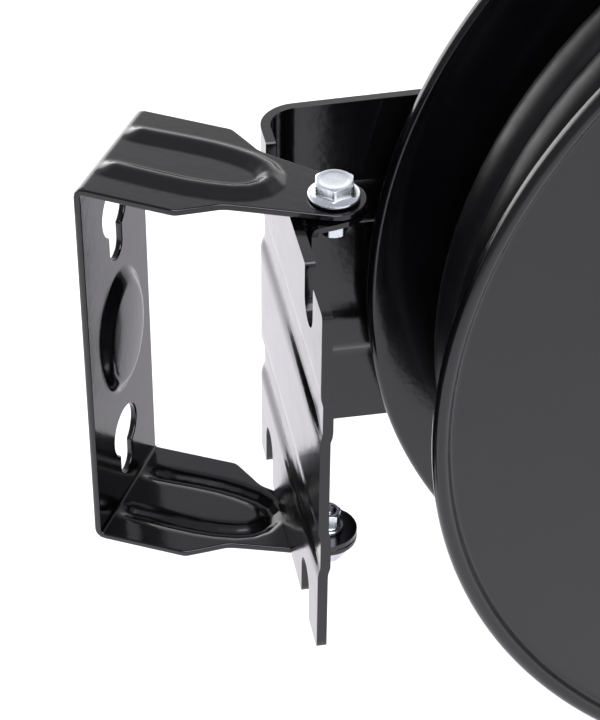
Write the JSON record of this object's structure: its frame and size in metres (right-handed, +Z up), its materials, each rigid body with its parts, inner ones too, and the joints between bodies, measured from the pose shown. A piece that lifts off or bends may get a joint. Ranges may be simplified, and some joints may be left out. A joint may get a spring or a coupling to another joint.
{
  "type": "hose reel",
  "caption": "Wall-hung spring-return air hose reel on a swivel bracket, with a one-armed steel frame, wound hose, ratchet, air swivel and roller guide.",
  "frame": {"origin": "on the back face of the wall bracket, on its upright centre line, just under the upper keyhole", "axes": "+X out from the wall, +Z up, +Y along the wall to the side of the frame's arm"},
  "size_m": [0.3776, 0.2599, 0.4386],
  "materials": {
    "frame_paint": "gloss",
    "drum_paint": "satin",
    "brass": "satin",
    "nylon": "matt",
    "roller_plastic": "matt",
    "hose_rubber": "satin",
    "black_rubber": "matt",
    "spring_steel": "satin",
    "bright_steel": "satin",
    "zinc": "bright zinc plate"
  },
  "bodies": {
    "wall": {"wall_bracket": "frame_paint"},
    "frame": {"reel_frame": "frame_paint", "pivot_channel": "frame_paint", "pivot_bolt_top": "zinc", "pivot_bolt_bottom": "zinc", "pivot_washer_top": "zinc", "pivot_washer_bottom": "zinc", "pivot_nut_top": "zinc", "pivot_nut_bottom": "zinc", "main_shaft": "bright_steel", "shaft_washer": "zinc", "shaft_nut": "zinc", "inlet_elbow": "brass", "retaining_ring": "bright_steel", "spring_arbor": "bright_steel", "guide_arm": "frame_paint", "arm_screw": "zinc", "arm_nut": "zinc", "guide_cage": "frame_paint", "guide_screw_1": "zinc", "guide_screw_2": "zinc", "guide_nut_1": "zinc", "guide_nut_2": "zinc", "guide_pin_inner": "bright_steel", "guide_pin_outer": "bright_steel", "guide_pin_front": "bright_steel", "guide_pin_rear": "bright_steel", "pawl_pin": "zinc", "pawl_spring": "bright_steel", "hose_end": "hose_rubber", "hose_stop": "black_rubber", "stop_clamp": "zinc", "hose_ferrule": "brass", "hose_nipple": "brass"},
    "drum": {"drum_core": "drum_paint", "front_flange": "drum_paint", "rear_flange": "drum_paint", "rear_bush": "nylon", "front_bush": "nylon", "spring_cover": "drum_paint", "cover_screw_1": "zinc", "cover_screw_2": "zinc", "cover_screw_3": "zinc", "cover_screw_4": "zinc", "swivel_housing": "brass", "swivel_seal_rear": "black_rubber", "swivel_seal_front": "black_rubber", "outlet_tail": "brass", "power_spring": "spring_steel", "spring_anchor": "bright_steel", "ratchet_wheel": "zinc", "hose_wound": "hose_rubber"},
    "pawl": {"pawl": "zinc"},
    "roller_inner": {"guide_roller_inner": "roller_plastic"},
    "roller_outer": {"guide_roller_outer": "roller_plastic"},
    "roller_front": {"guide_roller_front": "roller_plastic"},
    "roller_rear": {"guide_roller_rear": "roller_plastic"}
  },
  "joints": [
    {"name": "frame_swing", "type": "hinge", "parent": "wall", "child": "frame", "pos_m": [0.0656, 0, -0.022], "axis": [0, 0, 1], "range_deg": [-119, 50]},
    {"name": "drum_spin", "type": "hinge", "parent": "frame", "child": "drum", "pos_m": [0.22437, 0.0906, -0.022], "axis": [-0.4956, 0.8685, 0], "continuous": true, "deforming": ["power_spring"]},
    {"name": "pawl_pivot", "type": "hinge", "parent": "frame", "child": "pawl", "pos_m": [0.15692, 0.10046, 0.009], "axis": [-0.4956, 0.8685, 0], "range_deg": [-2, 14], "stiffness_Nm_per_rad": 0.02},
    {"name": "roller_inner_spin", "type": "hinge", "parent": "frame", "child": "roller_inner", "pos_m": [0.29648, 0.14326, -0.20072], "axis": [-0.4956, 0.8685, 0], "continuous": true},
    {"name": "roller_outer_spin", "type": "hinge", "parent": "frame", "child": "roller_outer", "pos_m": [0.31875, 0.15596, -0.20702], "axis": [-0.4956, 0.8685, 0], "continuous": true},
    {"name": "roller_front_spin", "type": "hinge", "parent": "frame", "child": "roller_front", "pos_m": [0.32765, 0.12075, -0.19125], "axis": [0.8435, 0.4813, -0.2385], "continuous": true},
    {"name": "roller_rear_spin", "type": "hinge", "parent": "frame", "child": "roller_rear", "pos_m": [0.29613, 0.17599, -0.19125], "axis": [0.8435, 0.4813, -0.2385], "continuous": true}
  ]
}
